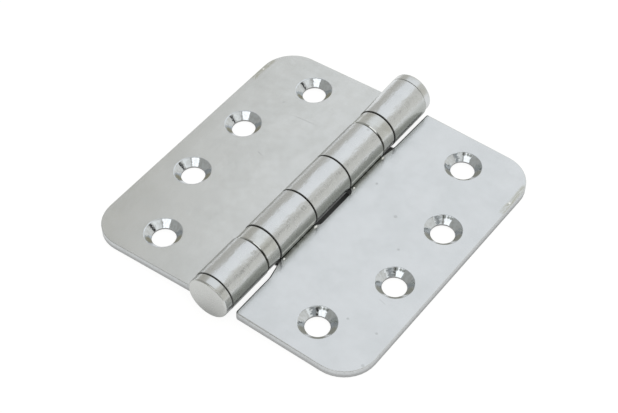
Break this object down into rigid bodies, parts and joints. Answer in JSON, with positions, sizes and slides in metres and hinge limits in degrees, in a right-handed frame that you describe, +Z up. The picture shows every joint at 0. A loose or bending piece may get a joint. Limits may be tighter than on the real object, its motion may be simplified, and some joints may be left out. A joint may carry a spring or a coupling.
{
  "type": "ball bearing butt hinge",
  "caption": "Square butt hinge with rounded corners: rolled sheet leaves with countersunk screw holes turn on a tipped pin, with ball thrust bearings between knuckles.",
  "frame": {"origin": "on the surface that the hinge lies on, under the middle of the barrel", "axes": "+Y along the pin, +X towards the leaf with two knuckles, +Z up out of the countersunk faces"},
  "size_m": [0.0888, 0.095, 0.0125],
  "materials": {
    "zinc_plated_steel": "satin zinc plating",
    "tip_steel": "satin zinc plating",
    "pin_steel": "drawn bar",
    "bearing_steel": "turned",
    "ball_steel": "polished"
  },
  "bodies": {
    "three_knuckle_leaf": {"left_leaf": "zinc_plated_steel", "hinge_pin": "pin_steel", "front_tip": "tip_steel", "rear_tip": "tip_steel", "front_bearing_cup": "bearing_steel", "rear_cover_race": "bearing_steel"},
    "two_knuckle_leaf": {"right_leaf": "zinc_plated_steel", "front_cover_race": "bearing_steel", "rear_bearing_cup": "bearing_steel"},
    "front_balls": {"front_ball_01": "ball_steel", "front_ball_02": "ball_steel", "front_ball_03": "ball_steel", "front_ball_04": "ball_steel", "front_ball_05": "ball_steel", "front_ball_06": "ball_steel", "front_ball_07": "ball_steel", "front_ball_08": "ball_steel", "front_ball_09": "ball_steel", "front_ball_10": "ball_steel", "front_ball_11": "ball_steel", "front_ball_12": "ball_steel", "front_ball_13": "ball_steel", "front_ball_14": "ball_steel", "front_ball_15": "ball_steel", "front_ball_16": "ball_steel", "front_ball_17": "ball_steel"},
    "rear_balls": {"rear_ball_01": "ball_steel", "rear_ball_02": "ball_steel", "rear_ball_03": "ball_steel", "rear_ball_04": "ball_steel", "rear_ball_05": "ball_steel", "rear_ball_06": "ball_steel", "rear_ball_07": "ball_steel", "rear_ball_08": "ball_steel", "rear_ball_09": "ball_steel", "rear_ball_10": "ball_steel", "rear_ball_11": "ball_steel", "rear_ball_12": "ball_steel", "rear_ball_13": "ball_steel", "rear_ball_14": "ball_steel", "rear_ball_15": "ball_steel", "rear_ball_16": "ball_steel", "rear_ball_17": "ball_steel"}
  },
  "joints": [
    {"name": "leaf_swing", "type": "hinge", "parent": "three_knuckle_leaf", "child": "two_knuckle_leaf", "pos_m": [0, 0, 0.00625], "axis": [0, -1, 0], "range_deg": [-100, 189]},
    {"name": "front_balls_orbit", "type": "hinge", "parent": "three_knuckle_leaf", "child": "front_balls", "pos_m": [0, 0, 0.00625], "axis": [0, -1, 0], "range_deg": [-51, 96]},
    {"name": "rear_balls_orbit", "type": "hinge", "parent": "three_knuckle_leaf", "child": "rear_balls", "pos_m": [0, 0, 0.00625], "axis": [0, -1, 0], "range_deg": [-51, 96]}
  ],
  "couplings": [
    {"joint": "front_balls_orbit", "follows": "leaf_swing", "ratio": 0.5},
    {"joint": "rear_balls_orbit", "follows": "leaf_swing", "ratio": 0.5}
  ]
}
